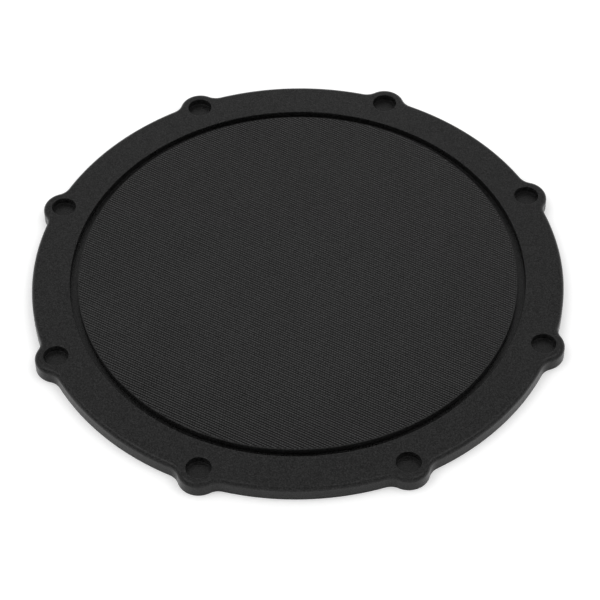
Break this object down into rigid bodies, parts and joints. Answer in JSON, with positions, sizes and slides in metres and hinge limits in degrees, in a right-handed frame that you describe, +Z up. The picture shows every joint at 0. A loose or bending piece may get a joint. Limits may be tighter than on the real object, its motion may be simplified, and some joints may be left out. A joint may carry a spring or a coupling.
{
  "type": "drum practice pad",
  "caption": "Thin round drum practice pad with a lugged hoop-shaped rim, a groove and a flush ribbed playing surface.",
  "frame": {"origin": "centre of the underside of the non-slip sheet, on the surface that the pad lies on", "axes": "+Z up, square to the playing surface; the X and Y axes each run midway between two lugs"},
  "size_m": [0.306, 0.306, 0.0095],
  "materials": {
    "tray_rubber": "matte moulded rubber with a fine sandy grain",
    "cap_rubber": "matte moulded rubber with fine parallel ribs",
    "bond_film": "tacky adhesive film",
    "core_foam": "closed-cell foam rubber",
    "grip_rubber": "soft matte rubber with raised pips"
  },
  "bodies": {
    "root": {"hoop_tray": "tray_rubber", "playing_cap": "cap_rubber", "core_bond_film": "bond_film", "damping_core": "core_foam", "floor_bond_film": "bond_film", "grip_bond_film": "bond_film", "grip_backing": "grip_rubber"}
  },
  "joints": []
}
